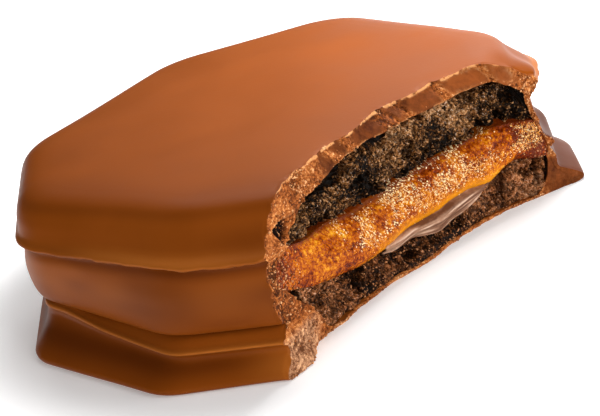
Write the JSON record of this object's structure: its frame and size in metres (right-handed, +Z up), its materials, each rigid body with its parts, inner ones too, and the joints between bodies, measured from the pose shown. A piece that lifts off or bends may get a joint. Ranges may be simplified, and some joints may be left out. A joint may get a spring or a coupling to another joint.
{
  "type": "alfajor cookie",
  "caption": "Chocolate-coated alfajor with a bite taken out, showing cocoa biscuits and a caramel layer inside the coating.",
  "frame": {"origin": "on the base plane, under the middle of the part's bounding box", "axes": "+Z up out of the top face; +X to the right and -Y to the front, with the bite facing between them"},
  "size_m": [0.0668, 0.0648, 0.018],
  "materials": {
    "milk_chocolate": "satin milk chocolate, slightly uneven",
    "cocoa_biscuit": "coarse dark cocoa crumb",
    "caramel": "glossy golden caramel with fine grains"
  },
  "bodies": {
    "root": {"chocolate_coating": "milk_chocolate", "upper_biscuit": "cocoa_biscuit", "caramel_filling": "caramel", "lower_biscuit": "cocoa_biscuit"}
  },
  "joints": []
}
